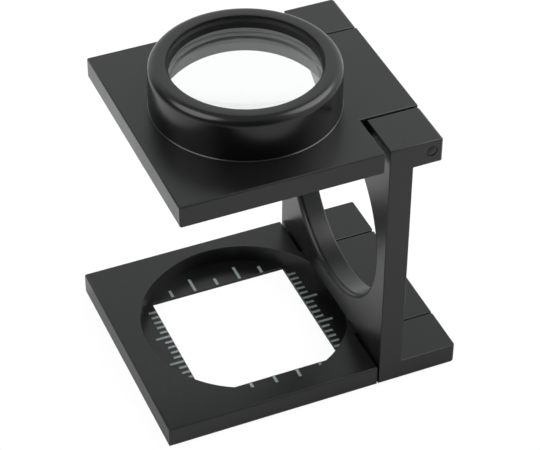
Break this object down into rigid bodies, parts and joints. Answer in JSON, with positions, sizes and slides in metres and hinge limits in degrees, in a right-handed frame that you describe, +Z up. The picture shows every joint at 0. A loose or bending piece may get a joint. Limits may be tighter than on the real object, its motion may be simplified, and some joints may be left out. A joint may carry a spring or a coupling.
{
  "type": "folding loupe",
  "caption": "Folding stand magnifier: base plate with a square reading window and edge scales, upright with a round opening, hinged lens plate with a round lens barrel.",
  "frame": {"origin": "middle of the footprint's box on the table, under the base plate", "axes": "+X towards the hinge end, +Y towards the far side along the hinge pins, +Z up"},
  "size_m": [0.0388, 0.031, 0.0432],
  "materials": {
    "black_enamel": "satin black baked enamel on a casting",
    "barrel_black": "semi-gloss black on a turned part",
    "pin_steel": "blackened steel",
    "lens_glass": "clear polished glass",
    "mark_paint": "pale printed paint"
  },
  "bodies": {
    "base": {"base_plate": "black_enamel", "fine_scale_left": "mark_paint", "fine_scale_right": "mark_paint", "coarse_scale_far": "mark_paint", "coarse_scale_near": "mark_paint"},
    "stand": {"upright": "black_enamel", "base_hinge_pin": "pin_steel", "lens_hinge_pin": "pin_steel"},
    "lens_arm": {"lens_plate": "black_enamel", "lens_barrel": "barrel_black", "spacer_ring": "barrel_black", "lens": "lens_glass", "retaining_ring": "barrel_black"}
  },
  "joints": [
    {"name": "base_hinge", "type": "hinge", "parent": "base", "child": "stand", "pos_m": [0.01795, 0, 0.0015], "axis": [0, 1, 0], "range_deg": [0, 270]},
    {"name": "lens_hinge", "type": "hinge", "parent": "stand", "child": "lens_arm", "pos_m": [0.0142, 0, 0.0359], "axis": [0, 1, 0], "range_deg": [0, 270]}
  ]
}
